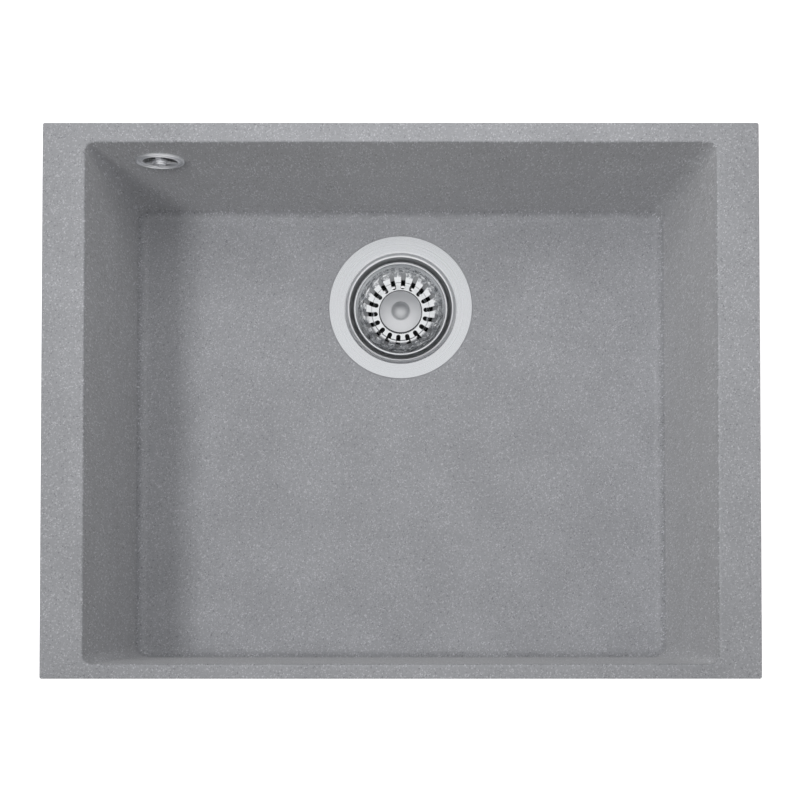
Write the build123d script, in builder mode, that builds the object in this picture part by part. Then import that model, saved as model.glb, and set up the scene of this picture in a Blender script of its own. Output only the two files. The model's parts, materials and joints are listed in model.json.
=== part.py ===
from build123d import *
import os
from math import cos, radians, sin, sqrt, tan

# Undermount kitchen sink: a moulded composite bowl with a basket strainer waste and an overflow.
# Millimetres, +Z up, +Y to the back. The origin is the middle of the rim's outline, in its top face.

# Bowl
bowl_length = 436.0
bowl_width = 360.0
bowl_depth = 190.0
rim_side = 29.5
rim_back = 13.7
rim_front = 10.3
rim_thickness = 12.0
rim_corner_radius = 1.5
rim_edge_radius = 1.0
wall = 8.0
floor_thickness = 9.0
side_draft = 2.6
end_draft = 0.6
floor_fall = 0.5
mouth_corner_radius = 6.0
floor_corner_radius = 11.0
floor_radius = 8.0
lip_radius = 2.0
root_radius = 1.8
waste_boss = 2.0

# Fixing points under the side rims
fixing_spacing = 220.0
fixing_inset = 10.5
boss_diameter = 17.0
boss_height = 10.0
insert_diameter = 8.0
insert_length = 12.0
insert_bore = 5.0

# Waste: steel flange and cup
waste_setback = 78.3
flange_diameter = 114.0
flange_stand = 0.5
flange_dish = 1.2
cup_sheet = 1.0
flange_seal = 1.0
recess_play = 1.0
flange_width = 12.5
cup_mouth = flange_diameter - 2 * flange_width
hole_play = 0.5
waste_hole_diameter = cup_mouth + 2 * hole_play
lip_taper = 1.9
cup_ledge_outer = cup_mouth - 2 * lip_taper
cup_ledge_width = 1.4
cup_ledge_inner = cup_ledge_outer - 2 * cup_ledge_width
cup_ledge_depth = 3.6
cup_ledge_fall = 0.6
neck_taper = 2.2
cup_neck = cup_ledge_inner - 2 * neck_taper
cup_neck_depth = 8.5
cup_waist_depth = 22.2
seal_diameter = 43.0
seal_play = 4.0
cup_base = seal_diameter + 2 * seal_play
well_taper = 0.5
cup_waist = cup_base + 2 * well_taper
cup_depth = 32.0
cup_base_radius = 3.0
cup_bend_radius = 2.0
cup_lip_radius = 2.0
drain_inner = 20.0
drain_lap = 2.5
drain_outer = seal_diameter - 2 * drain_lap
drain_count = 4
drain_rib = 5.0

# Waste: lower body and its clamp
body_seal = 2.0
body_flange = 112.0
body_flange_thickness = 4.0
body_bore = 92.0
body_wall = 3.0
body_straight = 35.0
body_cone = 12.0
outlet_diameter = 47.8
outlet_bore = 40.0
outlet_length = 35.0
outlet_flange = 60.0
outlet_flange_thickness = 3.0
screw_diameter = 8.0
screw_head = 13.0
screw_head_height = 2.5
screw_slot = 1.6
washer_diameter = 20.0
washer_thickness = 1.2
clamp_insert_diameter = 12.0
clamp_insert_length = 12.0
hub_wall = 3.0
hub_rib = 3.0
hub_rib_count = 3

# Basket
basket_play = 2.3
basket_rim = cup_neck - 2 * basket_play
basket_rim_drop = 5.0
basket_bead = 1.0
band_taper = 4.2
basket_band = basket_rim - 2 * band_taper
basket_band_drop = 11.5
floor_play = 2.5
basket_floor = cup_waist - 2 * floor_play
basket_floor_drop = 20.5
basket_sheet = 0.8
basket_bend_radius = 2.5
slot_count = 18
slot_width = 3.6
slot_foot = 4.9
slot_inner = basket_floor - 2 * slot_foot
slot_head = 2.0
slot_outer = basket_band - 2 * slot_head
slot_turn = 5.0
cap_play = 1.1
cap_diameter = slot_inner - 2 * cap_play
cap_edge_lift = 1.8
cap_height = 4.8
cap_sheet = 1.0
cap_boss = 16.0
knob_diameter = 14.2
knob_neck = 10.4
knob_height = 5.6
knob_dome = 2.6
stem_diameter = 6.0
stem_head = 8.8
stem_head_height = 2.0

# Plug under the basket
plate_thickness = 3.5
skirt_bore = 22.4
skirt_wall = 2.0
plate_lap = 3.8
plate_diameter = skirt_bore + 2 * skirt_wall + 2 * plate_lap
skirt_length = 5.0
seal_lip = 2.0
nut_across = 10.0
nut_thickness = 2.0

# Overflow
overflow_inset = 45.5
overflow_drop = 44.0
overflow_hole = 26.0
rosette_diameter = 35.0
rosette_height = 1.7
rosette_ring = 5.2
rosette_hub = 11.0
rosette_spoke = 3.6
rosette_sheet = 0.8
rosette_bead = 1.8
overflow_screw_diameter = 5.0
overflow_screw_head = 8.4
overflow_screw_height = 2.2
cross_length = 5.0
cross_width = 1.1
cross_depth = 1.3
overflow_insert_diameter = 7.0
overflow_insert_length = 8.0
head_seal = 1.5
head_flange = 42.0
head_flange_thickness = 3.0
head_bore = 26.0
head_wall = 2.0
head_drop = 50.0
head_setout = 25.2
head_hub_wall = 2.0
head_rib = 2.5

# Overflow pipe and its slip joints
pipe_diameter = 20.0
pipe_wall = 1.6
pipe_bend = 45.0
pipe_drop = 32.0
spigot_diameter = 25.0
spigot_length = 20.0
socket_depth = 14.0
inlet_reach = 78.0
joint_seal = 3.0
joint_nut = 31.0
joint_nut_sides = 8
joint_nut_grip = 12.0
joint_nut_lip = 3.0

# Clearances
slip_play = 0.2
running_play = 0.08
press_play = 0.05
seat_play = 0.2

rim_length = bowl_length + 2 * rim_side
rim_width = bowl_width + rim_back + rim_front
mouth_back = rim_width / 2 - rim_back
mouth_front = mouth_back - bowl_width

# Waste axis: heights on it are measured from the floor, downwards negative
waste = Plane((0, mouth_back - waste_setback, -bowl_depth))
fall = radians(floor_fall)
floor_plane = Plane(waste.origin, x_dir=(1, 0, 0), z_dir=(0, sin(fall), cos(fall)))

# Overflow axis: square to the back wall's inner face, heights on it grow into the bowl
lean = radians(end_draft)
overflow_x = overflow_inset - bowl_length / 2
overflow = Plane(
    (overflow_x, mouth_back - overflow_drop * tan(lean), -overflow_drop),
    x_dir=(1, 0, 0),
    z_dir=(0, -cos(lean), sin(lean)),
)


def half_section(base):
    """Plane through an axis, with the distance from the axis as X and the height along it as Y."""
    return Plane(base.origin, x_dir=base.x_dir, z_dir=-base.y_dir)


def turned(base, points):
    """Solid of revolution about a plane's axis from the outline of its half section."""
    with BuildPart() as form:
        with BuildSketch(half_section(base)):
            with BuildLine():
                Polyline(*points, close=True)
            make_face()
        revolve(axis=Axis(base.origin, base.z_dir))
    return form


def ring(base, outer, inner, start, height):
    """Flat ring on a plane's axis."""
    with BuildPart() as form:
        with BuildSketch(base.offset(start)):
            Circle(outer)
            Circle(inner, mode=Mode.SUBTRACT)
        extrude(amount=height)
    return form


def tub(grow, floor):
    """The bowl's drafted form, grown outwards by a wall and closed below by a floor plane."""
    reach = bowl_depth + 3 * floor_thickness
    with BuildPart() as form:
        for depth, corner in ((0, mouth_corner_radius), (reach, floor_corner_radius)):
            length = bowl_length + 2 * grow - 2 * depth * tan(radians(side_draft))
            width = bowl_width + 2 * grow - 2 * depth * tan(lean)
            with BuildSketch(Plane.XY.offset(-depth)):
                with Locations((0, (mouth_back + mouth_front) / 2)):
                    RectangleRounded(length, width, corner + grow)
        loft(ruled=True)
        split(bisect_by=floor, keep=Keep.TOP)
        fillet(form.faces().sort_by(Axis.Z)[0].edges(), floor_radius + grow)
    return form


# Bowl, moulded in one piece with its rim, waste seat and fixing bosses
cavity = tub(0, floor_plane)
shell = tub(wall, floor_plane.offset(-floor_thickness))
recess_depth = cup_sheet + flange_seal + flange_dish - flange_stand
seat_level = -floor_thickness - waste_boss
boss_x = rim_length / 2 - fixing_inset
boss_level = -rim_thickness - boss_height
fixings = [(x, y) for x in (-boss_x, boss_x) for y in (-fixing_spacing / 2, fixing_spacing / 2)]

with BuildPart() as sink_bowl:
    with BuildSketch():
        RectangleRounded(rim_length, rim_width, rim_corner_radius)
    extrude(amount=-rim_thickness)
    fillet(sink_bowl.faces().sort_by(Axis.Z)[-1].edges(), rim_edge_radius)
    add(shell.part)
    rim_under = sink_bowl.faces().filter_by(Axis.Z).sort_by(Axis.Z)[-2]
    fillet(rim_under.inner_wires()[0].edges(), root_radius)
    with BuildSketch(Plane.XY.offset(boss_level)):
        with Locations(*fixings):
            Circle(boss_diameter / 2)
    extrude(amount=boss_height)
    with BuildSketch(waste.offset(seat_level)):
        Circle(body_flange / 2 + recess_play)
    extrude(amount=floor_thickness / 2)
    add(cavity.part, mode=Mode.SUBTRACT)
    fillet(sink_bowl.faces().sort_by(Axis.Z)[-1].inner_wires()[0].edges(), lip_radius)
    with BuildSketch(waste.offset(-recess_depth)):
        Circle(flange_diameter / 2 + recess_play)
    extrude(amount=floor_thickness / 2 + recess_depth, mode=Mode.SUBTRACT)
    with BuildSketch(waste.offset(floor_thickness / 2)):
        Circle(waste_hole_diameter / 2)
    extrude(amount=-2 * floor_thickness, mode=Mode.SUBTRACT)
    with BuildSketch(overflow.offset(wall)):
        Circle(overflow_hole / 2)
    extrude(amount=-3 * wall, mode=Mode.SUBTRACT)
    with BuildSketch(Plane.XY.offset(boss_level)):
        with Locations(*fixings):
            Circle(insert_diameter / 2 + press_play)
    extrude(amount=insert_length, mode=Mode.SUBTRACT)

inserts = []
for x, y in fixings:
    inserts.append(ring(Plane((x, y, boss_level)), insert_diameter / 2, insert_bore / 2, 0, insert_length))

# Waste cup, pressed from sheet: dished flange, lip, ledge, a cone that follows the basket's wall, and a slotted well
flange_top = flange_stand
cup_floor = flange_top - cup_depth
with BuildPart() as waste_cup:
    with BuildSketch(half_section(waste)):
        with BuildLine() as cup_line:
            Polyline(
                (flange_diameter / 2, flange_top),
                (cup_mouth / 2, flange_top - flange_dish),
                (cup_ledge_outer / 2, flange_top - cup_ledge_depth),
                (cup_ledge_inner / 2, flange_top - cup_ledge_depth - cup_ledge_fall),
                (cup_neck / 2, flange_top - cup_neck_depth),
                (cup_waist / 2, flange_top - cup_waist_depth),
                (cup_base / 2, cup_floor),
                (screw_diameter / 2 + slip_play, cup_floor),
            )
            fillet(cup_line.vertices().sort_by(Axis.Y)[2:4], cup_bend_radius)
            fillet(cup_line.vertices().sort_by(Axis.Y)[-2:].sort_by(Axis.X)[:1], cup_lip_radius)
            fillet(cup_line.vertices().sort_by(Axis.Y)[:2].sort_by(Axis.X)[-1:], cup_base_radius)
            offset(amount=cup_sheet, side=Side.LEFT)
        make_face()
    revolve(axis=Axis(waste.origin, waste.z_dir))
    with BuildSketch(waste.offset(cup_floor)):
        Circle(drain_outer / 2)
        Circle(drain_inner / 2, mode=Mode.SUBTRACT)
        with PolarLocations(0, drain_count, start_angle=45):
            with Locations((drain_outer / 4, 0)):
                Rectangle(drain_outer / 2 + 2 * cup_sheet, drain_rib, mode=Mode.SUBTRACT)
    extrude(amount=-2 * cup_sheet, mode=Mode.SUBTRACT)

# Gasket wedged between the recess and the flange, which falls towards the mouth
flange_slope = 2 * flange_dish / (flange_diameter - cup_mouth)
flange_under = flange_top - cup_sheet * sqrt(1 + flange_slope**2) - seat_play
gasket_outer = flange_diameter / 2 - recess_play
gasket_inner = waste_hole_diameter / 2 + recess_play
flange_gasket = turned(
    waste,
    [
        (gasket_outer, -recess_depth),
        (gasket_outer, flange_under - flange_slope * recess_play),
        (gasket_inner, flange_under - flange_slope * (flange_diameter / 2 - gasket_inner)),
        (gasket_inner, -recess_depth),
    ],
)
body_top = seat_level - body_seal
body_gasket = ring(waste, body_flange / 2, body_bore / 2, body_top, body_seal)

# Slip joint frames: the end of each spigot, with Z pointing along the pipe
back_face = -wall * cos(lean)
pipe_level = bowl_depth + pipe_drop
pipe_top = Vector(overflow_x, overflow.origin.Y + head_setout, -overflow_drop - head_drop - spigot_length)
pipe_corner = Vector(pipe_top.X, pipe_top.Y, -pipe_level)
inlet_origin = Vector(waste.origin.X, waste.origin.Y, -pipe_level)
inlet = Plane(inlet_origin, x_dir=(0, 0, 1), z_dir=(pipe_corner - inlet_origin).normalized())
upper_joint = Plane(pipe_top, x_dir=(1, 0, 0), z_dir=(0, 0, -1))
lower_joint = inlet.offset(inlet_reach)
pipe_outer = pipe_diameter / 2
pipe_inner = pipe_outer - pipe_wall
socket = pipe_outer + slip_play

# Waste body: flange, tub and cone down to a flat seat, with a clamp hub on ribs and the overflow inlet
tub_outer = body_bore / 2 + body_wall
straight_end = body_top - body_straight
cone_end = straight_end - body_cone
outlet_seat = cone_end - body_wall
outlet_end = outlet_seat - outlet_length
hub_outer = clamp_insert_diameter / 2 + hub_wall
hub_top = straight_end
hub_end = hub_top - clamp_insert_length - hub_wall
with BuildPart() as waste_body:
    with BuildSketch(half_section(waste)):
        with BuildLine():
            Polyline(
                (body_bore / 2, body_top),
                (body_flange / 2, body_top),
                (body_flange / 2, body_top - body_flange_thickness),
                (tub_outer, body_top - body_flange_thickness),
                (tub_outer, straight_end - body_wall),
                (outlet_flange / 2, outlet_seat),
                (outlet_bore / 2, outlet_seat),
                (outlet_bore / 2, cone_end),
                (body_bore / 2, straight_end),
                close=True,
            )
        make_face()
    revolve(axis=Axis(waste.origin, waste.z_dir))
    with BuildSketch(waste.offset(hub_end)):
        with PolarLocations(0, hub_rib_count, start_angle=90):
            with Locations((outlet_bore / 4 + body_wall / 4, 0)):
                Rectangle(outlet_bore / 2 + body_wall / 2, hub_rib)
        Circle(hub_outer)
    extrude(amount=cone_end - hub_end - body_wall / 2)
    with BuildSketch(waste.offset(hub_end)):
        Circle(hub_outer)
    extrude(amount=hub_top - hub_end)
    with BuildSketch(inlet.offset(body_bore / 2 + body_wall / 2)):
        Circle(spigot_diameter / 2)
    extrude(amount=inlet_reach - body_bore / 2 - body_wall / 2)
    with BuildSketch(inlet.offset(body_bore / 2 - body_wall)):
        Circle(pipe_inner)
    extrude(amount=inlet_reach, mode=Mode.SUBTRACT)
    with BuildSketch(inlet.offset(inlet_reach - socket_depth)):
        Circle(socket)
    extrude(amount=socket_depth, mode=Mode.SUBTRACT)
    with BuildSketch(waste.offset(hub_top)):
        Circle(clamp_insert_diameter / 2 + press_play)
    extrude(amount=-clamp_insert_length, mode=Mode.SUBTRACT)
    with BuildSketch(waste.offset(hub_top)):
        Circle(screw_diameter / 2 + slip_play)
    extrude(amount=hub_end - hub_top, mode=Mode.SUBTRACT)

# Outlet tail: flange welded to the body's seat, and the tube for the trap's thread
waste_outlet = turned(
    waste,
    [
        (outlet_bore / 2, outlet_seat),
        (outlet_flange / 2, outlet_seat),
        (outlet_flange / 2, outlet_seat - outlet_flange_thickness),
        (outlet_diameter / 2, outlet_seat - outlet_flange_thickness),
        (outlet_diameter / 2, outlet_end),
        (outlet_bore / 2, outlet_end),
    ],
)

clamp_insert = ring(
    waste,
    clamp_insert_diameter / 2,
    screw_diameter / 2 + press_play,
    hub_top - clamp_insert_length,
    clamp_insert_length,
)
clamp_washer = ring(
    waste, washer_diameter / 2, screw_diameter / 2 + slip_play, cup_floor, washer_thickness
)
screw_seat = cup_floor + washer_thickness
screw_top = screw_seat + screw_head_height
screw_end = hub_top - clamp_insert_length
with BuildPart() as clamp_screw:
    with BuildSketch(waste.offset(screw_end)):
        Circle(screw_diameter / 2)
    extrude(amount=screw_seat - screw_end)
    with BuildSketch(waste.offset(screw_seat)):
        Circle(screw_head / 2)
    extrude(amount=screw_head_height)
    chamfer(clamp_screw.faces().sort_by(Axis.Z)[-1].edges(), screw_slot / 4)
    with BuildSketch(waste.offset(screw_top)):
        Rectangle(screw_head, screw_slot)
    extrude(amount=-screw_head_height / 2, mode=Mode.SUBTRACT)

# Basket: rolled rim, smooth band, sloping wall and floor, with slots that run up the wall
basket_base = flange_top - basket_floor_drop
basket_top = flange_top - basket_rim_drop
band_level = flange_top - basket_band_drop
stem_hole = stem_diameter / 2 + running_play
with BuildPart() as strainer_basket:
    with BuildSketch(half_section(waste)):
        with BuildLine() as basket_line:
            Polyline(
                (basket_rim / 2 - basket_bead, basket_top - basket_bead),
                (basket_band / 2, band_level),
                (basket_floor / 2, basket_base),
                (stem_hole, basket_base),
            )
            fillet(basket_line.vertices().sort_by(Axis.X)[1:3], basket_bend_radius)
            offset(amount=basket_sheet, side=Side.LEFT)
        make_face()
        with Locations((basket_rim / 2, basket_top - basket_bead)):
            Circle(basket_bead)
    revolve(axis=Axis(waste.origin, waste.z_dir))
    with BuildSketch(waste.offset(basket_base - 2 * basket_sheet)):
        with PolarLocations((slot_inner + slot_outer) / 4, slot_count, start_angle=slot_turn):
            SlotOverall((slot_outer - slot_inner) / 2, slot_width)
    extrude(amount=basket_top - basket_base, mode=Mode.SUBTRACT)

# Cap over the basket's middle, a pressed dome on a boss, and the knob on it
cap_top = basket_base + cap_height
cap_edge = basket_base + cap_edge_lift
with BuildPart() as basket_cap:
    with BuildSketch(half_section(waste)):
        with BuildLine():
            Polyline(
                (knob_diameter / 2, cap_top),
                (stem_hole, cap_top),
                (stem_hole, basket_base),
                (cap_boss / 2, basket_base),
                (cap_boss / 2, cap_top - 2 * cap_sheet),
            )
            ThreePointArc(
                (cap_boss / 2, cap_top - 2 * cap_sheet),
                ((cap_boss + cap_diameter) / 4, (cap_top + cap_edge) / 2 - cap_sheet / 2),
                (cap_diameter / 2 - cap_sheet, cap_edge),
            )
            Line((cap_diameter / 2 - cap_sheet, cap_edge), (cap_diameter / 2, cap_edge))
            ThreePointArc(
                (cap_diameter / 2, cap_edge),
                ((knob_diameter + cap_diameter) / 4, (cap_top + cap_edge) / 2 + cap_sheet / 2),
                (knob_diameter / 2, cap_top),
            )
        make_face()
    revolve(axis=Axis(waste.origin, waste.z_dir))

knob_top = cap_top + knob_height
head_room = stem_head_height + 2 * seat_play
dome_radius = ((knob_diameter / 2) ** 2 + knob_dome**2) / (2 * knob_dome)
with BuildPart() as basket_knob:
    with BuildSketch(half_section(waste)):
        with BuildLine():
            Polyline(
                (0, knob_top),
                (0, cap_top + head_room),
                (stem_head / 2 + slip_play, cap_top + head_room),
                (stem_head / 2 + slip_play, cap_top),
                (knob_neck / 2, cap_top),
                (knob_neck / 2, cap_top + head_room / 2),
                (knob_diameter / 2, cap_top + head_room),
                (knob_diameter / 2, knob_top - knob_dome),
            )
            ThreePointArc(
                (knob_diameter / 2, knob_top - knob_dome),
                (knob_diameter / 4, knob_top - dome_radius + sqrt(dome_radius**2 - (knob_diameter / 4) ** 2)),
                (0, knob_top),
            )
        make_face()
    revolve(axis=Axis(waste.origin, waste.z_dir))

# Plug: stem, plate with a skirt over the clamp screw's head, rubber seal and nut
plate_top = basket_base - basket_sheet - seat_play
plate_under = plate_top - plate_thickness
skirt_outer = skirt_bore / 2 + skirt_wall
plug_base = cup_floor + seat_play
stem_end = plate_under - nut_thickness
with BuildPart() as basket_stem:
    with BuildSketch(waste.offset(stem_end)):
        Circle(stem_diameter / 2)
    extrude(amount=cap_top + seat_play - stem_end)
    with BuildSketch(waste.offset(cap_top + seat_play)):
        Circle(stem_head / 2)
    extrude(amount=stem_head_height)

seal_plate = turned(
    waste,
    [
        (stem_diameter / 2 + press_play, plate_top),
        (plate_diameter / 2 - plate_thickness / 2, plate_top),
        (plate_diameter / 2, plate_under + plate_thickness / 3),
        (plate_diameter / 2, plate_under),
        (skirt_outer, plate_under),
        (skirt_outer, plate_under - skirt_length),
        (skirt_bore / 2, plate_under - skirt_length),
        (skirt_bore / 2, plate_under),
        (stem_diameter / 2 + press_play, plate_under),
    ],
)
plug_seal = turned(
    waste,
    [
        (skirt_outer + press_play, plate_under),
        (plate_diameter / 2, plate_under),
        (seal_diameter / 2, plug_base + seal_lip),
        (seal_diameter / 2, plug_base),
        (seal_diameter / 2 - seal_lip, plug_base),
        (skirt_outer + press_play, plug_base + seal_lip / 2),
    ],
)
with BuildPart() as stem_nut:
    with BuildSketch(waste.offset(stem_end)):
        RegularPolygon(nut_across / 2, 6, major_radius=False)
        Circle(stem_diameter / 2 + press_play, mode=Mode.SUBTRACT)
    extrude(amount=nut_thickness)

# Overflow seat levels: the gasket on the wall's outer face, then the head's flange
seal_back = back_face - head_seal
flange_back = seal_back - head_flange_thickness

# Overflow rosette: ring with a bead along each edge, on three spokes with a hub that carries the screw
rosette_outer = rosette_diameter / 2
ring_inner = rosette_outer - rosette_ring
screw_shaft = overflow_screw_diameter / 2
with BuildPart() as overflow_rosette:
    with BuildSketch(half_section(overflow)):
        with BuildLine():
            Polyline(
                (screw_shaft + slip_play, rosette_height),
                (screw_shaft + slip_play, rosette_height - 2 * rosette_sheet),
                (ring_inner, rosette_sheet / 2),
                (ring_inner, 0),
                (rosette_outer, 0),
                (rosette_outer, rosette_sheet),
            )
            ThreePointArc(
                (rosette_outer, rosette_sheet),
                (rosette_outer - rosette_bead / 2, rosette_height),
                (rosette_outer - rosette_bead, rosette_sheet),
            )
            Line((rosette_outer - rosette_bead, rosette_sheet), (ring_inner + rosette_bead, rosette_sheet))
            ThreePointArc(
                (ring_inner + rosette_bead, rosette_sheet),
                (ring_inner + rosette_bead / 2, rosette_height),
                (ring_inner, rosette_sheet),
            )
            Polyline(
                (ring_inner, rosette_sheet),
                (rosette_hub / 2, rosette_height),
                (screw_shaft + slip_play, rosette_height),
            )
        make_face()
    revolve(axis=Axis(overflow.origin, overflow.z_dir))
    with BuildSketch(overflow.offset(-rosette_sheet)):
        Circle(ring_inner)
        Circle(rosette_hub / 2, mode=Mode.SUBTRACT)
        with PolarLocations(0, 3, start_angle=90):
            with Locations((ring_inner / 2, 0)):
                Rectangle(ring_inner + 2 * rosette_sheet, rosette_spoke, mode=Mode.SUBTRACT)
    extrude(amount=rosette_height + 2 * rosette_sheet, mode=Mode.SUBTRACT)

with BuildPart() as overflow_screw:
    with BuildSketch(overflow.offset(rosette_height)):
        Circle(overflow_screw_head / 2)
    extrude(amount=overflow_screw_height)
    fillet(overflow_screw.faces().sort_by(Axis.Y)[0].edges(), overflow_screw_height / 2)
    with BuildSketch(overflow.offset(rosette_height + overflow_screw_height)):
        Rectangle(cross_length, cross_width)
        Rectangle(cross_width, cross_length)
    extrude(amount=-cross_depth, mode=Mode.SUBTRACT)
    with BuildSketch(overflow.offset(rosette_height)):
        Circle(screw_shaft)
    extrude(amount=flange_back - rosette_height)

# Overflow head: flange and collar on the wall, hub on ribs, and a chamber that narrows to the spigot
head_inner = head_bore / 2 - head_wall
insert_front = flange_back + overflow_insert_length
hub_radius = overflow_insert_diameter / 2 + head_hub_wall
overflow_gasket = ring(overflow, head_flange / 2, head_bore / 2, seal_back, head_seal)
spigot_top = Plane(pipe_top + Vector(0, 0, spigot_length), x_dir=(1, 0, 0), z_dir=(0, 0, 1))


def chamber(thickness):
    """Passage from the wall flange down to the spigot."""
    with BuildPart() as form:
        with BuildSketch(overflow.offset(flange_back)):
            Circle(head_bore / 2 + head_wall - thickness)
        with BuildSketch(spigot_top):
            Circle(spigot_diameter / 2 - thickness)
        loft(ruled=True)
    return form


with BuildPart() as overflow_head:
    with BuildSketch(overflow.offset(flange_back)):
        Circle(head_flange / 2)
    extrude(amount=head_flange_thickness)
    add(chamber(0).part)
    with BuildSketch(spigot_top):
        Circle(spigot_diameter / 2)
    extrude(amount=-spigot_length)
    with BuildSketch(spigot_top):
        Circle(pipe_inner)
    extrude(amount=-spigot_length, mode=Mode.SUBTRACT)
    add(chamber(spigot_diameter / 2 - pipe_inner).part, mode=Mode.SUBTRACT)
    with BuildSketch(upper_joint):
        Circle(socket)
    extrude(amount=-socket_depth, mode=Mode.SUBTRACT)
    with BuildSketch(overflow.offset(flange_back)):
        Circle(head_inner)
    extrude(amount=head_flange_thickness, mode=Mode.SUBTRACT)
    with BuildSketch(overflow.offset(flange_back)):
        with PolarLocations(0, 3, start_angle=90):
            with Locations((head_inner / 2 + head_wall / 4, 0)):
                Rectangle(head_inner + head_wall / 2, head_rib)
        Circle(hub_radius)
    extrude(amount=head_flange_thickness)
    with BuildSketch(overflow.offset(flange_back)):
        Circle(hub_radius)
    extrude(amount=insert_front - flange_back)
    with BuildSketch(overflow.offset(insert_front)):
        Circle(overflow_insert_diameter / 2 + press_play)
    extrude(amount=-overflow_insert_length, mode=Mode.SUBTRACT)

overflow_insert = ring(
    overflow,
    overflow_insert_diameter / 2,
    screw_shaft + press_play,
    insert_front - overflow_insert_length,
    overflow_insert_length,
)

# Overflow pipe: rigid tube with one bend, seated in both sockets
with BuildLine() as pipe_path:
    FilletPolyline(
        upper_joint.offset(-socket_depth + seat_play).origin,
        pipe_corner,
        lower_joint.offset(-socket_depth + seat_play).origin,
        radius=pipe_bend,
    )
with BuildPart() as overflow_pipe:
    with BuildSketch(upper_joint.offset(-socket_depth + seat_play)):
        Circle(pipe_outer)
        Circle(pipe_inner, mode=Mode.SUBTRACT)
    sweep(path=pipe_path.wire())


def joint_parts(end):
    """Tapered seal and grip nut of a slip joint at a spigot's end."""
    bore = spigot_diameter / 2 + slip_play
    seal = turned(
        end,
        [
            (socket, 0),
            (spigot_diameter / 2, 0),
            (spigot_diameter / 2, joint_seal / 2),
            (socket + pipe_wall / 2, joint_seal),
            (socket, joint_seal),
        ],
    )
    with BuildPart() as nut:
        with BuildSketch(end.offset(-joint_nut_grip)):
            RegularPolygon(joint_nut / 2, joint_nut_sides)
        extrude(amount=joint_nut_grip + joint_seal + joint_nut_lip)
        chamfer(nut.faces().sort_by(Axis(end.origin, end.z_dir))[-1].edges(), joint_nut_lip / 2)
        with BuildSketch(end.offset(-joint_nut_grip)):
            Circle(bore)
        extrude(amount=joint_nut_grip + joint_seal, mode=Mode.SUBTRACT)
        with BuildSketch(end):
            Circle(socket)
        extrude(amount=joint_nut_grip + joint_seal + joint_nut_lip, mode=Mode.SUBTRACT)
    return seal, nut


upper_pipe_seal, upper_pipe_nut = joint_parts(upper_joint)
lower_pipe_seal, lower_pipe_nut = joint_parts(lower_joint)

pieces = {
    "sink_bowl": sink_bowl,
    "fixing_insert_1": inserts[0],
    "fixing_insert_2": inserts[1],
    "fixing_insert_3": inserts[2],
    "fixing_insert_4": inserts[3],
    "waste_cup": waste_cup,
    "flange_gasket": flange_gasket,
    "body_gasket": body_gasket,
    "waste_body": waste_body,
    "waste_outlet": waste_outlet,
    "clamp_screw": clamp_screw,
    "clamp_washer": clamp_washer,
    "clamp_insert": clamp_insert,
    "strainer_basket": strainer_basket,
    "basket_cap": basket_cap,
    "basket_knob": basket_knob,
    "basket_stem": basket_stem,
    "seal_plate": seal_plate,
    "plug_seal": plug_seal,
    "stem_nut": stem_nut,
    "overflow_rosette": overflow_rosette,
    "overflow_screw": overflow_screw,
    "overflow_insert": overflow_insert,
    "overflow_gasket": overflow_gasket,
    "overflow_head": overflow_head,
    "overflow_pipe": overflow_pipe,
    "upper_pipe_seal": upper_pipe_seal,
    "upper_pipe_nut": upper_pipe_nut,
    "lower_pipe_seal": lower_pipe_seal,
    "lower_pipe_nut": lower_pipe_nut,
}
os.makedirs("parts", exist_ok=True)
for name, piece in pieces.items():
    piece.part.label = name
    export_step(piece.part, f"parts/{name}.step")
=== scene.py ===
import json
import math

import bmesh
import bpy
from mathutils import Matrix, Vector


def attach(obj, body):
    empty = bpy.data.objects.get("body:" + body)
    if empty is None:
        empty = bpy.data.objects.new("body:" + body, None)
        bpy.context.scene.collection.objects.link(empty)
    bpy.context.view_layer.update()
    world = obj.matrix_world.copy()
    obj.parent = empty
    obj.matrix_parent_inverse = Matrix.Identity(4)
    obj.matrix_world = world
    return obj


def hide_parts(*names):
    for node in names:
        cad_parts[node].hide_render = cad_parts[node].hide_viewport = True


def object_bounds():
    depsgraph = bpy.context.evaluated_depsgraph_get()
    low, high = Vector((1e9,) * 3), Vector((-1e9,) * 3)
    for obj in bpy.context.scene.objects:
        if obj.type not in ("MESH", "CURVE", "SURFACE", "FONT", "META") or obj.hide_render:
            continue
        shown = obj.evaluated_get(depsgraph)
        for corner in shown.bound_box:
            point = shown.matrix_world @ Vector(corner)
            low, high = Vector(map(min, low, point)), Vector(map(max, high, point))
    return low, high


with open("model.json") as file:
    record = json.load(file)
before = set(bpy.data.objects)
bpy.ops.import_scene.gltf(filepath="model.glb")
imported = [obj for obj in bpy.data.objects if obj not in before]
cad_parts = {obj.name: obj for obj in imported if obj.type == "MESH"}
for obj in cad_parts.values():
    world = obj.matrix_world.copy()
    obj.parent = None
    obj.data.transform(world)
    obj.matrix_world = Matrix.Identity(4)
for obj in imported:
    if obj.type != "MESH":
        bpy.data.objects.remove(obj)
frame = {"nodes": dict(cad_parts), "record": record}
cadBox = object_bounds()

nodes = frame["nodes"]
scene = bpy.context.scene
scene.view_settings.view_transform = "Standard"
wasteAxis = (0.0, 0.1, 0.0)  # upright axis of the strainer, the outlet and the sealant, in metres
levelOnly = (1.0, 1.0, 0.0)  # times a place, this drops its height


def toLinear(hexColour):
    parts = [int(hexColour[i:i + 2], 16) / 255 for i in (1, 3, 5)]
    return [p / 12.92 if p <= 0.04045 else ((p + 0.055) / 1.055) ** 2.4 for p in parts] + [1.0]


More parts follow.
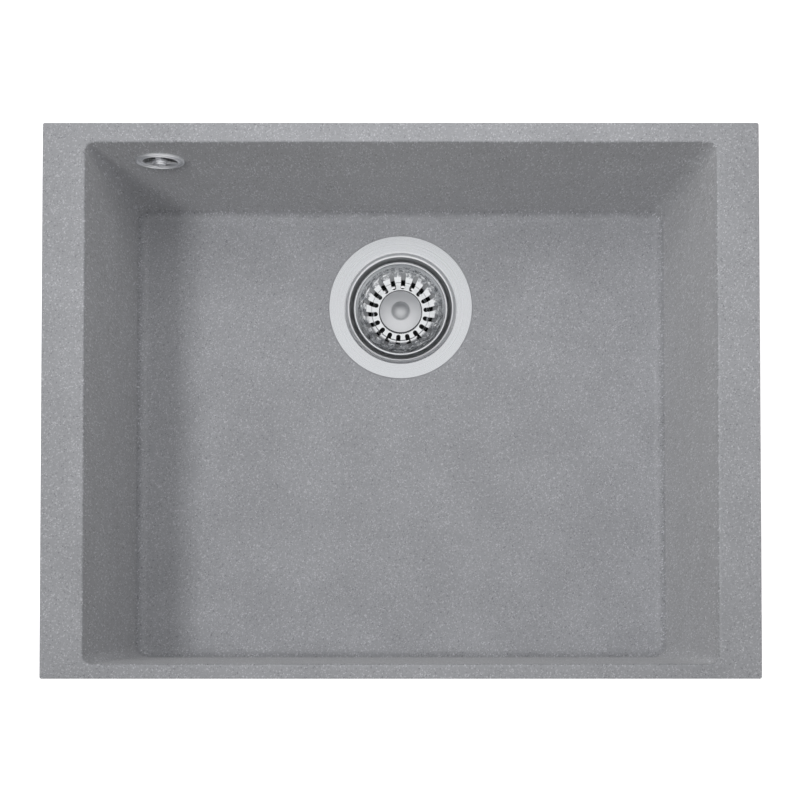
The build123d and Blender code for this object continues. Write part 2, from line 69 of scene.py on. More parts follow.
# A Mix node takes colours at 6 and 7 and gives output 2, or numbers at 2 and 3 and gives output 0
def addNode(tree, kind, settings, sockets):
    node = tree.nodes.new("ShaderNode" + kind)
    for name, value in settings.items():
        if name == "stops":  # colour ramp: first and last stop exist already
            elements = node.color_ramp.elements
            elements[0].position, elements[1].position = value[0][0], value[-1][0]
            for stop in value[1:-1]:
                elements.new(stop[0])
            for element, stop in zip(elements, value):
                element.color = toLinear(stop[1])
        else:
            setattr(node, name, value)
    for name, value in sockets.items():
        if isinstance(value, bpy.types.NodeSocket):
            tree.links.new(value, node.inputs[name])
        else:
            node.inputs[name].default_value = value
    return node


def startMaterial(name):
    material = bpy.data.materials.new(name)
    material.use_nodes = True
    tree = material.node_tree
    tree.nodes.clear()
    return material, tree, addNode(tree, "TexCoord", {}, {}).outputs["Object"]


def perMetre(millimetres):  # pattern scale for a feature of that size
    return 1000 / millimetres


# Stone composite: quartz sand in grey acrylic, cast in a matt mould.
# The eye sees an even cool grey with pale and dark grains and a soft, broad sheen.
composite = {
    "body": "#aaabaf",
    "darkGrain": "#8e8f93",
    "paleGrain": "#cbccd0",
    "innerDark": "#7c7d81",  # stronger on the inner walls, where the eye blends the grains again
    "innerPale": "#e2e3e7",
    "grainSize": 0.75,  # the sand is about 0.4 mm, drawn coarser so that a grain fills a pixel
    "grainStops": (0.0, 0.10, 0.22, 0.70, 0.86, 1.0),  # two each for dark, plain and pale
    "outerSettling": 0.35,  # sand slides down the mould, so the grains are longer on the walls
    "innerSettling": 0.26,  # more on the inner walls, where each pixel takes in 3 mm of height
    "innerFacing": -0.08,  # inner walls start here, in metres from the middle along the normal
    "innerUpright": -0.17,  # and have their full colours from here
    "cloudSize": 45.0,
    "cloudDetail": 3.0,
    "cloudDark": "#f4f4f4",
    "cloudPale": "#ffffff",
    "cloudRange": (0.35, 0.65),
    "skinSize": 0.8,
    "skinDetail": 2.0,
    "skinDepth": 0.00002,
    "skinStrength": 0.6,
    "roughness": (0.40, 0.52),
    "ior": 1.49,
    "sheen": 0.40,  # loose sand grains at the skin catch grazing light
    "sheenRoughness": 0.5,
}
stoneComposite, tree, place = startMaterial("stone_composite")
level = addNode(tree, "VectorMath", {"operation": "MULTIPLY"}, {0: place, 1: levelOnly})
facing = addNode(tree, "NewGeometry", {}, {}).outputs["Normal"]
outward = addNode(
    tree,
    "VectorMath",
    {"operation": "DOT_PRODUCT"},
    {0: facing, 1: level.outputs["Vector"]},
)
innerWall = addNode(
    tree,
    "Math",
    {"operation": "LESS_THAN"},
    {0: outward.outputs["Value"], 1: composite["innerFacing"]},
)
settling = addNode(
    tree,
    "MapRange",
    {},
    {
        "Value": innerWall.outputs["Value"],
        "To Min": composite["outerSettling"],
        "To Max": composite["innerSettling"],
    },
)
drawn = addNode(tree, "CombineXYZ", {}, {"X": 1.0, "Y": 1.0, "Z": settling.outputs["Result"]})
settled = addNode(
    tree,
    "VectorMath",
    {"operation": "MULTIPLY"},
    {0: place, 1: drawn.outputs["Vector"]},
)
grains = addNode(
    tree,
    "TexVoronoi",
    {},
    {"Vector": settled.outputs["Vector"], "Scale": perMetre(composite["grainSize"])},
)
grainColours = []
for dark, pale in (("darkGrain", "paleGrain"), ("innerDark", "innerPale")):
    shades = [composite[name] for name in (dark, dark, "body", "body", pale, pale)]
    stops = list(zip(composite["grainStops"], shades))
    ramp = addNode(tree, "ValToRGB", {"stops": stops}, {"Fac": grains.outputs["Color"]})
    grainColours.append(ramp.outputs["Color"])
steep = addNode(
    tree,
    "MapRange",
    {},
    {
        "Value": outward.outputs["Value"],
        "From Min": composite["innerFacing"],
        "From Max": composite["innerUpright"],
    },
)
stoneColour = addNode(
    tree,
    "Mix",
    {"data_type": "RGBA"},
    {0: steep.outputs["Result"], 6: grainColours[0], 7: grainColours[1]},
)
clouds = addNode(
    tree,
    "TexNoise",
    {},
    {
        "Vector": place,
        "Scale": perMetre(composite["cloudSize"]),
        "Detail": composite["cloudDetail"],
    },
)
cloudShades = (composite["cloudDark"], composite["cloudPale"])
cloudColour = addNode(
    tree,
    "ValToRGB",
    {"stops": list(zip(composite["cloudRange"], cloudShades))},
    {"Fac": clouds.outputs["Fac"]},
)
clouded = addNode(
    tree,
    "Mix",
    {"data_type": "RGBA", "blend_type": "MULTIPLY"},
    {0: 1.0, 6: stoneColour.outputs[2], 7: cloudColour.outputs["Color"]},
)
skin = addNode(
    tree,
    "TexNoise",
    {},
    {"Vector": place, "Scale": perMetre(composite["skinSize"]), "Detail": composite["skinDetail"]},
)
skinRough = addNode(
    tree,
    "MapRange",
    {},
    {
        "Value": skin.outputs["Fac"],
        "To Min": composite["roughness"][0],
        "To Max": composite["roughness"][1],
    },
)
skinBump = addNode(
    tree,
    "Bump",
    {},
    {
        "Height": skin.outputs["Fac"],
        "Strength": composite["skinStrength"],
        "Distance": composite["skinDepth"],
    },
)
shader = addNode(
    tree,
    "BsdfPrincipled",
    {},
    {
        "Base Color": clouded.outputs[2],
        "Roughness": skinRough.outputs["Result"],
        "Normal": skinBump.outputs["Normal"],
        "IOR": composite["ior"],
        "Sheen Weight": composite["sheen"],
        "Sheen Roughness": composite["sheenRoughness"],
    },
)
addNode(tree, "OutputMaterial", {}, {"Surface": shader.outputs["BSDF"]})

# Satin stainless steel: pressed, then spun against an abrasive pad that reaches only flat faces.
# The eye sees fine rings and a blurred mirror on the flange, turning marks on the cup's ledge, a
# dull blasted face in the cup and on the cap and knob, and a dark mirror in the well. Painted
# shade darkens the knob and rings the cap's edge.
satin = {
    "colour": "#d8dadd",
    "roughness": (0.22, 0.32),
    "ringSize": 0.7,  # pad scratches are under 0.1 mm, drawn coarser to show
    "ringDetail": 3.0,
    "ringDepth": 0.00001,
    "ringStrength": 0.6,
    "markSize": 1.6,  # turning marks on the ledge
    "markDetail": 2.0,
    "markDepth": 0.0005,
    "zones": {  # rings round the axis, by middle radius and half width, each over those above it
        "cup": {"radius": 0.0, "half": 0.0445, "colour": "#f0f1f3", "roughness": 0.60},
        "well": {"radius": 0.0222, "half": 0.0040, "roughness": 0.10},  # left as drawn
        "ledge": {"radius": 0.0405, "half": 0.0040, "roughness": 0.44},  # with the cup's lip
        # painted shade: the knob is coloured darker than the cap round it, for the dark walls its
        # dome mirrors
        "knob": {"radius": 0.0, "half": 0.0078, "colour": "#d4d6d8", "roughness": 0.52},
        "cap_edge_painted_shade": {"radius": 0.0172, "half": 0.0004, "colour": "#5a5c5f"},  # painted shade: a dark ring at the cap's edge, where its rolled edge mirrors the dark wall
    },
}
satinSteel, tree, place = startMaterial("satin_stainless_steel")
fromAxis = addNode(tree, "VectorMath", {"operation": "SUBTRACT"}, {0: place, 1: wasteAxis})
flat = addNode(
    tree,
    "VectorMath",
    {"operation": "MULTIPLY"},
    {0: fromAxis.outputs["Vector"], 1: levelOnly},
)
radius = addNode(tree, "VectorMath", {"operation": "LENGTH"}, {0: flat.outputs["Vector"]})
rings = addNode(
    tree,
    "TexNoise",
    {"noise_dimensions": "1D"},
    {
        "W": radius.outputs["Value"],
        "Scale": perMetre(satin["ringSize"]),
        "Detail": satin["ringDetail"],
    },
)
ringRough = addNode(
    tree,
    "MapRange",
    {},
    {
        "Value": rings.outputs["Fac"],
        "To Min": satin["roughness"][0],
        "To Max": satin["roughness"][1],
    },
)
inZone = {}
steelColour = toLinear(satin["colour"])
steelRough = ringRough.outputs["Result"]
for name, zone in satin["zones"].items():
    within = addNode(
        tree,
        "Math",
        {"operation": "COMPARE"},
        {0: radius.outputs["Value"], 1: zone["radius"], 2: zone["half"]},
    )
    inZone[name] = within.outputs["Value"]
    if "colour" in zone:
        steelColour = addNode(
            tree,
            "Mix",
            {"data_type": "RGBA"},
            {0: inZone[name], 6: steelColour, 7: toLinear(zone["colour"])},
        ).outputs[2]
    if "roughness" in zone:
        steelRough = addNode(
            tree,
            "Mix",
            {"data_type": "FLOAT"},
            {0: inZone[name], 2: steelRough, 3: zone["roughness"]},
        ).outputs[0]
turnMarks = addNode(
    tree,
    "TexNoise",
    {"noise_dimensions": "1D"},
    {
        "W": radius.outputs["Value"],
        "Scale": perMetre(satin["markSize"]),
        "Detail": satin["markDetail"],
    },
)
markBump = addNode(
    tree,
    "Bump",
    {},
    {
        "Height": turnMarks.outputs["Fac"],
        "Strength": inZone["ledge"],
        "Distance": satin["markDepth"],
    },
)
ringBump = addNode(
    tree,
    "Bump",
    {},
    {
        "Height": rings.outputs["Fac"],
        "Strength": satin["ringStrength"],
        "Distance": satin["ringDepth"],
        "Normal": markBump.outputs["Normal"],
    },
)
shader = addNode(
    tree,
    "BsdfPrincipled",
    {},
    {
        "Base Color": steelColour,
        "Metallic": 1.0,
        "Roughness": steelRough,
        "Normal": ringBump.outputs["Normal"],
    },
)
addNode(tree, "OutputMaterial", {}, {"Surface": shader.outputs["BSDF"]})

# Polished stainless steel: deep drawn and tumbled.
# The eye sees sharp reflections with faint water marks. The round foot of the basket's wall gathers
# them into bright bars between the slots, and the press ripples above it break them into dashes.
polished = {
    "colour": "#e4e6e8",
    "markSize": 3.0,
    "markDetail": 4.0,
    "markRange": (0.3, 0.7),
    "roughness": (0.14, 0.28),
    "wallRadius": 0.0310,  # middle of the basket's wall above its round foot, and half its width
    "wallHalf": 0.0032,
    "rippleSize": 3.4,
    "rippleDetail": 2.0,
    "rippleStretch": (0.7, 1.6, 1.0),  # the ripples run round the wall as short dashes
    "rippleDepth": 0.0022,
    "fluteCount": 18.0,  # one shallow flute for each slot
    "fluteShare": 0.35,
    "footRadius": 0.0237,  # the wall springs from the floor here, in a round press radius
    "footEnd": 0.0318,
    "footDepth": 0.0053,
    "footCurve": 2.0,
}
polishedSteel, tree, place = startMaterial("polished_stainless_steel")
fromAxis = addNode(tree, "VectorMath", {"operation": "SUBTRACT"}, {0: place, 1: wasteAxis})
flat = addNode(
    tree,
    "VectorMath",
    {"operation": "MULTIPLY"},
    {0: fromAxis.outputs["Vector"], 1: levelOnly},
)
radius = addNode(tree, "VectorMath", {"operation": "LENGTH"}, {0: flat.outputs["Vector"]})
parts = addNode(tree, "SeparateXYZ", {}, {"Vector": fromAxis.outputs["Vector"]})
angle = addNode(
    tree,
    "Math",
    {"operation": "ARCTAN2"},
    {0: parts.outputs["Y"], 1: parts.outputs["X"]},
)
arc = addNode(
    tree,
    "Math",
    {"operation": "MULTIPLY"},
    {0: angle.outputs["Value"], 1: polished["wallRadius"]},
)
polar = addNode(
    tree,
    "CombineXYZ",
    {},
    {"X": arc.outputs["Value"], "Y": radius.outputs["Value"]},
)
dashes = addNode(
    tree,
    "VectorMath",
    {"operation": "MULTIPLY"},
    {0: polar.outputs["Vector"], 1: polished["rippleStretch"]},
)
ripples = addNode(
    tree,
    "TexNoise",
    {},
    {
        "Vector": dashes.outputs["Vector"],
        "Scale": perMetre(polished["rippleSize"]),
        "Detail": polished["rippleDetail"],
    },
)
turns = addNode(
    tree,
    "Math",
    {"operation": "MULTIPLY"},
    {0: angle.outputs["Value"], 1: polished["fluteCount"]},
)
flutes = addNode(tree, "Math", {"operation": "SINE"}, {0: turns.outputs["Value"]})
wallRelief = addNode(
    tree,
    "Math",
    {"operation": "MULTIPLY_ADD"},
    {0: flutes.outputs["Value"], 1: polished["fluteShare"], 2: ripples.outputs["Fac"]},
)
onWall = addNode(
    tree,
    "Math",
    {"operation": "COMPARE"},
    {0: radius.outputs["Value"], 1: polished["wallRadius"], 2: polished["wallHalf"]},
)
foot = addNode(
    tree,
    "MapRange",
    {},
    {
        "Value": radius.outputs["Value"],
        "From Min": polished["footRadius"],
        "From Max": polished["footEnd"],
        "To Min": 1.0,
        "To Max": 0.0,
    },
)
footRound = addNode(
    tree,
    "Math",
    {"operation": "POWER"},
    {0: foot.outputs["Result"], 1: polished["footCurve"]},
)
footBump = addNode(
    tree,
    "Bump",
    {},
    {"Height": footRound.outputs["Value"], "Distance": polished["footDepth"]},
)
wallBump = addNode(
    tree,
    "Bump",
    {},
    {
        "Height": wallRelief.outputs["Value"],
        "Strength": onWall.outputs["Value"],
        "Distance": polished["rippleDepth"],
        "Normal": footBump.outputs["Normal"],
    },
)
marks = addNode(
    tree,
    "TexNoise",
    {},
    {"Vector": place, "Scale": perMetre(polished["markSize"]), "Detail": polished["markDetail"]},
)
markRough = addNode(
    tree,
    "MapRange",
    {},
    {
        "Value": marks.outputs["Fac"],
        "From Min": polished["markRange"][0],
        "From Max": polished["markRange"][1],
        "To Min": polished["roughness"][0],
        "To Max": polished["roughness"][1],
    },
)
shader = addNode(
    tree,
    "BsdfPrincipled",
    {},
    {
        "Base Color": toLinear(polished["colour"]),
        "Metallic": 1.0,
        "Roughness": markRough.outputs["Result"],
        "Normal": wallBump.outputs["Normal"],
    },
)
addNode(tree, "OutputMaterial", {}, {"Surface": shader.outputs["BSDF"]})

# Satin chrome on zinc: die cast, buffed dull and plated.
# The eye sees a bright, cold and blurred mirror that is a little uneven from the buffing.
chrome = {
    "colour": "#f0f1f3",
    "buffSize": 4.0,
    "buffDetail": 2.0,
    "buffDepth": 0.00003,
    "buffStrength": 0.4,
    "roughness": (0.48, 0.60),
}
chromedZinc, tree, place = startMaterial("chromed_zinc")
buff = addNode(
    tree,
    "TexNoise",
    {},
    {"Vector": place, "Scale": perMetre(chrome["buffSize"]), "Detail": chrome["buffDetail"]},
)
buffRough = addNode(
    tree,
    "MapRange",
    {},
    {
        "Value": buff.outputs["Fac"],
        "To Min": chrome["roughness"][0],
        "To Max": chrome["roughness"][1],
    },
)
buffBump = addNode(
    tree,
    "Bump",
    {},
    {
        "Height": buff.outputs["Fac"],
        "Strength": chrome["buffStrength"],
        "Distance": chrome["buffDepth"],
    },
)
shader = addNode(
    tree,
    "BsdfPrincipled",
    {},
    {
        "Base Color": toLinear(chrome["colour"]),
        "Metallic": 1.0,
        "Roughness": buffRough.outputs["Result"],
        "Normal": buffBump.outputs["Normal"],
    },
)
addNode(tree, "OutputMaterial", {}, {"Surface": shader.outputs["BSDF"]})

# Brass: turned from bar and left bare.
# The eye sees a warm yellow metal, a little darker and duller where it has tarnished.
turnedBrass = {
    "tarnish": "#9c7b3e",
    "bright": "#d0ad62",
    "patchSize": 2.5,
    "patchDetail": 4.0,
    "patchRange": (0.35, 0.6),
    "roughness": (0.42, 0.24),
}
brass, tree, place = startMaterial("turned_brass")
patches = addNode(
    tree,
    "TexNoise",
    {},
    {
        "Vector": place,
        "Scale": perMetre(turnedBrass["patchSize"]),
        "Detail": turnedBrass["patchDetail"],
    },
)
brassShades = (turnedBrass["tarnish"], turnedBrass["bright"])
brassColour = addNode(
    tree,
    "ValToRGB",
    {"stops": list(zip(turnedBrass["patchRange"], brassShades))},
    {"Fac": patches.outputs["Fac"]},
)
brassRough = addNode(
    tree,
    "MapRange",
    {},
    {
        "Value": patches.outputs["Fac"],
        "To Min": turnedBrass["roughness"][0],
        "To Max": turnedBrass["roughness"][1],
    },
)
shader = addNode(
    tree,
    "BsdfPrincipled",
    {},
    {
        "Base Color": brassColour.outputs["Color"],
        "Metallic": 1.0,
        "Roughness": brassRough.outputs["Result"],
    },
)
addNode(tree, "OutputMaterial", {}, {"Surface": shader.outputs["BSDF"]})

# Polypropylene: injection moulded in a spark-eroded mould, natural white.
# The eye sees a milky white with a fine dull grain and faint flow clouds.
whitePlastic = {
    "flow": "#d2d3cf",
    "pale": "#dedfdc",
    "flowSize": 22.0,
    "flowDetail": 3.0,
    "flowRange": (0.35, 0.65),
    "grainSize": 0.9,  # the eroded grain is about 0.1 mm, drawn coarser to show
    "grainDetail": 2.0,
    "grainDepth": 0.00003,
    "grainStrength": 0.5,
    "roughness": (0.38, 0.50),
    "ior": 1.49,
    "milkiness": 0.15,
    "milkDepth": (0.002, 0.002, 0.0018),  # how far red, green and blue light get in, in metres
}
polypropylene, tree, place = startMaterial("moulded_polypropylene")
flow = addNode(
    tree,
    "TexNoise",
    {},
    {
        "Vector": place,
        "Scale": perMetre(whitePlastic["flowSize"]),
        "Detail": whitePlastic["flowDetail"],
    },
)
flowShades = (whitePlastic["flow"], whitePlastic["pale"])
flowColour = addNode(
    tree,
    "ValToRGB",
    {"stops": list(zip(whitePlastic["flowRange"], flowShades))},
    {"Fac": flow.outputs["Fac"]},
)
grain = addNode(
    tree,
    "TexNoise",
    {},
    {
        "Vector": place,
        "Scale": perMetre(whitePlastic["grainSize"]),
        "Detail": whitePlastic["grainDetail"],
    },
)
grainRough = addNode(
    tree,
    "MapRange",
    {},
    {
        "Value": grain.outputs["Fac"],
        "To Min": whitePlastic["roughness"][0],
        "To Max": whitePlastic["roughness"][1],
    },
)
grainBump = addNode(
    tree,
    "Bump",
    {},
    {
        "Height": grain.outputs["Fac"],
        "Strength": whitePlastic["grainStrength"],
        "Distance": whitePlastic["grainDepth"],
    },
)
shader = addNode(
    tree,
    "BsdfPrincipled",
    {},
    {
        "Base Color": flowColour.outputs["Color"],
        "Roughness": grainRough.outputs["Result"],
        "Normal": grainBump.outputs["Normal"],
        "IOR": whitePlastic["ior"],
        "Subsurface Weight": whitePlastic["milkiness"],
        "Subsurface Radius": whitePlastic["milkDepth"],
        "Subsurface Scale": 1.0,
    },
)
addNode(tree, "OutputMaterial", {}, {"Surface": shader.outputs["BSDF"]})

# EPDM rubber: moulded, black, with a little talc left on it.
# The eye sees a near-black matt skin with a grey bloom.
blackRubber = {
    "black": "#1c1c1d",
    "bloom": "#343536",
    "bloomSize": 5.0,
    "bloomDetail": 4.0,
    "bloomRange": (0.45, 0.75),
    "skinSize": 0.8,
    "skinDetail": 2.0,
    "skinDepth": 0.00003,
    "skinStrength": 0.5,
    "roughness": 0.78,
    "ior": 1.52,
}
rubber, tree, place = startMaterial("epdm_rubber")
bloom = addNode(
    tree,
    "TexNoise",
    {},
    {
        "Vector": place,
        "Scale": perMetre(blackRubber["bloomSize"]),
        "Detail": blackRubber["bloomDetail"],
    },
)
bloomShades = (blackRubber["black"], blackRubber["bloom"])
bloomColour = addNode(
    tree,
    "ValToRGB",
    {"stops": list(zip(blackRubber["bloomRange"], bloomShades))},
    {"Fac": bloom.outputs["Fac"]},
)
rubberSkin = addNode(
    tree,
    "TexNoise",
    {},
    {
        "Vector": place,
        "Scale": perMetre(blackRubber["skinSize"]),
        "Detail": blackRubber["skinDetail"],
    },
)
rubberBump = addNode(
    tree,
    "Bump",
    {},
    {
        "Height": rubberSkin.outputs["Fac"],
        "Strength": blackRubber["skinStrength"],
        "Distance": blackRubber["skinDepth"],
    },
)
shader = addNode(
    tree,
    "BsdfPrincipled",
    {},
    {
        "Base Color": bloomColour.outputs["Color"],
        "Roughness": blackRubber["roughness"],
        "Normal": rubberBump.outputs["Normal"],
        "IOR": blackRubber["ior"],
    },
)
addNode(tree, "OutputMaterial", {}, {"Surface": shader.outputs["BSDF"]})

finishes = {
    "composite": stoneComposite,
    "satin_steel": satinSteel,
    "polished_steel": polishedSteel,
    "chromed_zinc": chromedZinc,
    "brass": brass,
    "polypropylene": polypropylene,
    "rubber": rubber,
}
for part in frame["record"]["subparts"]:
    mesh = nodes[part["node"]].data
    mesh.materials.clear()
    mesh.materials.append(finishes[part["material_slot"]])

# Threaded outlet: the plain tail gets the pipe thread that a trap's nut takes
outlet = {
    "radius": 0.0239,
    "pitch": 0.00231,  # 11 threads per inch
    "depth": 0.0012,
    "flank": 2.2,  # over 2, so that the groove has a narrow flat at its foot
    "plainTop": 0.005,  # smooth neck above the thread
    "leadIn": 0.0015,
    "ringsPerPitch": 6,
    "tailTop": -0.25,  # the tail's faces lie below this height
    "upright": 0.1,  # and lean less than this
    "sameRadius": 0.00002,
    "sameHeight": 0.0001,
    "samePoint": 0.000001,
    "sharpEdge": 32,  # degrees
}


def radiusAt(vert):
    return math.hypot(vert.co.x - wasteAxis[0], vert.co.y - wasteAxis[1])


def angleAt(vert):
    return math.atan2(vert.co.y - wasteAxis[1], vert.co.x - wasteAxis[0])


body = bmesh.new()
body.from_mesh(nodes["waste_outlet"].data)
bmesh.ops.remove_doubles(body, verts=body.verts, dist=outlet["samePoint"])
tailFaces = [
    face
    for face in body.faces
    if all(abs(radiusAt(v) - outlet["radius"]) < outlet["sameRadius"] for v in face.verts)
    and abs(face.normal.z) < outlet["upright"]
    and face.calc_center_median().z < outlet["tailTop"]
]
tailVerts = {v for face in tailFaces for v in face.verts}
topZ = max(v.co.z for v in tailVerts)
endZ = min(v.co.z for v in tailVerts)
topRing = [v for v in tailVerts if v.co.z > topZ - outlet["sameHeight"]]
endRing = [v for v in tailVerts if v.co.z < endZ + outlet["sameHeight"]]
topRing.sort(key=angleAt)
endRing.sort(key=angleAt)
print("outlet rings:", len(topRing), len(endRing), "faces", len(tailFaces))
bmesh.ops.delete(body, geom=tailFaces, context="FACES_ONLY")
threadTop = topZ - outlet["plainTop"]
threadLength = threadTop - endZ
ringCount = int(threadLength / (outlet["pitch"] / outlet["ringsPerPitch"]))
threadRings = [topRing]
for i in range(ringCount):
    drop = i * threadLength / ringCount
    z = threadTop - drop
    fade = min(1.0, drop / outlet["leadIn"], (z - endZ) / outlet["leadIn"])
    threadRings.append([])
    for angle in [angleAt(v) for v in topRing]:
        wave = (z / outlet["pitch"] + angle / (2 * math.pi)) % 1.0
        groove = outlet["depth"] * min(1.0, outlet["flank"] * min(wave, 1 - wave)) * fade
        reach = outlet["radius"] - groove
        across, back = reach * math.cos(angle), reach * math.sin(angle)
        threadRings[-1].append(body.verts.new((wasteAxis[0] + across, wasteAxis[1] + back, z)))
threadRings.append(endRing)
for upper, lower in zip(threadRings, threadRings[1:]):
    for k in range(len(topRing)):
        after = (k + 1) % len(topRing)
        body.faces.new((upper[k], lower[k], lower[after], upper[after]))
bmesh.ops.delete(body, geom=[v for v in body.verts if not v.link_faces], context="VERTS")
bmesh.ops.recalc_face_normals(body, faces=body.faces)
for face in body.faces:
    face.smooth = True
for edge in body.edges:
    edge.smooth = edge.calc_face_angle(0) < math.radians(outlet["sharpEdge"])
threadedMesh = bpy.data.meshes.new("threaded_outlet")
body.to_mesh(threadedMesh)
body.free()
threadedOutlet = bpy.data.objects.new("threaded_outlet", threadedMesh)
scene.collection.objects.link(threadedOutlet)
threadedMesh.materials.append(polypropylene)
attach(threadedOutlet, "sink")
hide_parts("waste_outlet")
print("outlet thread:", ringCount, "rings")

# Sealant: grey silicone that closes the gap round the strainer flange, smoothed with a wet finger.
# The eye sees a soft line close to the stone in colour, a little glossier and smeared.
sealant = {
    "smear": "#98999d",
    "pale": "#a6a7ab",
    "smearSize": 6.0,
    "smearDetail": 2.0,
    "smearRange": (0.35, 0.65),
    "roughness": (0.32, 0.48),
    "ior": 1.41,
    "inner": 0.05711,  # radii of the bead, in the gap between flange and recess
    "outer": 0.05793,
    "floorLevel": -0.1900,  # of the bowl's floor at the axis
    "floorSlope": -0.00872,  # the floor falls to the back
    "topDrop": 0.00012,  # how far the bead's top and foot lie under the floor
    "footDrop": 0.0010,
    "sides": 180,
}
silicone, tree, place = startMaterial("grey_silicone")
smears = addNode(
    tree,
    "TexNoise",
    {},
    {"Vector": place, "Scale": perMetre(sealant["smearSize"]), "Detail": sealant["smearDetail"]},
)
smearShades = (sealant["smear"], sealant["pale"])
smearColour = addNode(
    tree,
    "ValToRGB",
    {"stops": list(zip(sealant["smearRange"], smearShades))},
    {"Fac": smears.outputs["Fac"]},
)
smearRough = addNode(
    tree,
    "MapRange",
    {},
    {
        "Value": smears.outputs["Fac"],
        "To Min": sealant["roughness"][0],
        "To Max": sealant["roughness"][1],
    },
)
shader = addNode(
    tree,
    "BsdfPrincipled",
    {},
    {
        "Base Color": smearColour.outputs["Color"],
        "Roughness": smearRough.outputs["Result"],
        "IOR": sealant["ior"],
    },
)
addNode(tree, "OutputMaterial", {}, {"Surface": shader.outputs["BSDF"]})
beadCorners = [
    (sealant["inner"], sealant["topDrop"]),
    (sealant["outer"], sealant["topDrop"]),
    (sealant["outer"], sealant["footDrop"]),
    (sealant["inner"], sealant["footDrop"]),
]
cornerCount = len(beadCorners)
points, quads = [], []
for k in range(sealant["sides"]):
    angle = 2 * math.pi * k / sealant["sides"]
    for reach, drop in beadCorners:
        across, back = reach * math.cos(angle), reach * math.sin(angle)
        height = sealant["floorLevel"] + sealant["floorSlope"] * back - drop
        points.append((wasteAxis[0] + across, wasteAxis[1] + back, height))
    here, after = cornerCount * k, cornerCount * ((k + 1) % sealant["sides"])
    for i in range(cornerCount):
        j = (i + 1) % cornerCount
        quads.append((here + i, here + j, after + j, after + i))
beadMesh = bpy.data.meshes.new("sealant_bead")
beadMesh.from_pydata(points, [], quads)
beadMesh.materials.append(silicone)
bead = bpy.data.objects.new("sealant_bead", beadMesh)
scene.collection.objects.link(bead)
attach(bead, "sink")
print("sealant bead:", len(quads), "faces")

# Studio: pale floor under the outlet, white surround, a softbox over the bowl, a key from the left
# and two fills below the rim for the outer walls
studio = {
    "floorColour": "#f4f4f4",
    "floorSize": 12.0,
    "floorGlow": 0.88,  # what is seen in the shadow, and the lamps bring the rest up to white
    "shadowReach": 0.5,  # beyond the shadow the floor fades into the white surround
    "whiteReach": 1.3,
    "surround": "#ffffff",
    "ambient": 0.05,
    "lamps": {
        "top_softbox": {
            "place": (0.0, 0.15, 0.5),
            "aim": (0.0, 0.15, 0.0),
            "size": 0.5,
            "power": 1.98,
        },
        "left_key": {
            "place": (-1.0, -0.2, 3.0),
            "aim": (0.0, 0.05, -0.1),
            "size": 0.4,
            "power": 31.0,
        },
        "front_fill": {
            "place": (1.0, -1.0, -0.15),
            "aim": (0.0, 0.0, -0.15),
            "size": 0.25,
            "power": 8.0,
        },
        "back_fill": {
            "place": (-1.0, 1.0, -0.15),
            "aim": (0.0, 0.0, -0.15),
            "size": 0.25,
            "power": 8.0,
        },
    },
}


def whereSeen(tree):  # 1 for the camera, reflections and glass, 0 for light on the object
    rays = addNode(tree, "LightPath", {}, {})
    seen = rays.outputs["Is Camera Ray"]
    for ray in ("Is Glossy Ray", "Is Transmission Ray"):
        seen = addNode(
            tree,
            "Math",
            {"operation": "MAXIMUM"},
            {0: seen, 1: rays.outputs[ray]},
        ).outputs["Value"]
    return seen


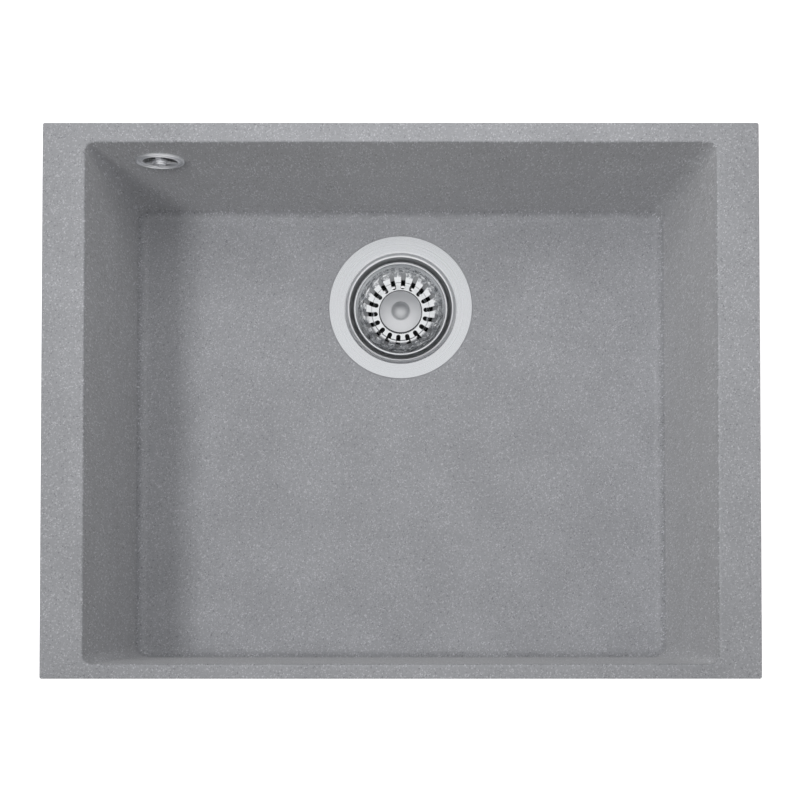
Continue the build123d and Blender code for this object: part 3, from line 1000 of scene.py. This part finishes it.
floorLevel = cadBox[0][2]
bpy.ops.mesh.primitive_plane_add(size=studio["floorSize"], location=(0, 0, floorLevel))
floor = bpy.context.object
floor.name = "studio_floor"
paleFloor, tree, place = startMaterial("pale_floor")
away = addNode(tree, "VectorMath", {"operation": "LENGTH"}, {0: place})
farGlow = addNode(
    tree,
    "MapRange",
    {},
    {
        "Value": away.outputs["Value"],
        "From Min": studio["shadowReach"],
        "From Max": studio["whiteReach"],
        "To Min": studio["floorGlow"],
        "To Max": 1.0,
    },
)
seenGlow = addNode(
    tree,
    "Math",
    {"operation": "MULTIPLY"},
    {0: whereSeen(tree), 1: farGlow.outputs["Result"]},
)
paint = addNode(tree, "BsdfDiffuse", {}, {"Color": toLinear(studio["floorColour"])})
glow = addNode(
    tree,
    "Emission",
    {},
    {"Color": toLinear(studio["surround"]), "Strength": seenGlow.outputs["Value"]},
)
litFloor = addNode(tree, "AddShader", {}, {0: paint.outputs["BSDF"], 1: glow.outputs["Emission"]})
addNode(tree, "OutputMaterial", {}, {"Surface": litFloor.outputs["Shader"]})
floor.data.materials.append(paleFloor)

world = bpy.data.worlds.new("white_surround")
scene.world = world
world.use_nodes = True
tree = world.node_tree
tree.nodes.clear()
surround = [
    addNode(
        tree,
        "Background",
        {},
        {"Color": toLinear(studio["surround"]), "Strength": strength},
    ).outputs["Background"]
    for strength in (studio["ambient"], 1.0)
]
seenWorld = addNode(tree, "MixShader", {}, {0: whereSeen(tree), 1: surround[0], 2: surround[1]})
addNode(tree, "OutputWorld", {}, {"Surface": seenWorld.outputs["Shader"]})

for name, lamp in studio["lamps"].items():
    lampData = bpy.data.lights.new(name, "AREA")
    lampData.shape = "SQUARE"
    lampData.size = lamp["size"]
    lampData.energy = lamp["power"]
    lampObject = bpy.data.objects.new(name, lampData)
    scene.collection.objects.link(lampObject)
    lampObject.location = lamp["place"]
    beam = Vector(lamp["aim"]) - lampObject.location
    lampObject.rotation_euler = beam.to_track_quat("-Z", "Y").to_euler()
    lampObject.visible_camera = False
    lampObject.visible_glossy = False  # the white surround is what the metal mirrors
print("studio: floor at", round(floorLevel, 4), "and", len(studio["lamps"]), "lamps")

# Camera over the front edge, looking straight down with a small tilt to the back
lens = {
    "place": (-0.0005, -0.1617, 1.1743),
    "tilt": 1.69,  # degrees
    "focal": 77.14,  # millimetres, as the sensor
    "sensor": 36.0,
    "shiftUp": 0.23,
}
cameraData = bpy.data.cameras.new("photo_camera")
cameraData.lens = lens["focal"]
cameraData.sensor_width = lens["sensor"]
cameraData.shift_y = lens["shiftUp"]
camera = bpy.data.objects.new("photo_camera", cameraData)
scene.collection.objects.link(camera)
camera.location = lens["place"]
camera.rotation_euler = (math.radians(lens["tilt"]), 0.0, 0.0)
scene.camera = camera
print("camera:", lens["focal"], "mm")

bpy.context.view_layer.update()
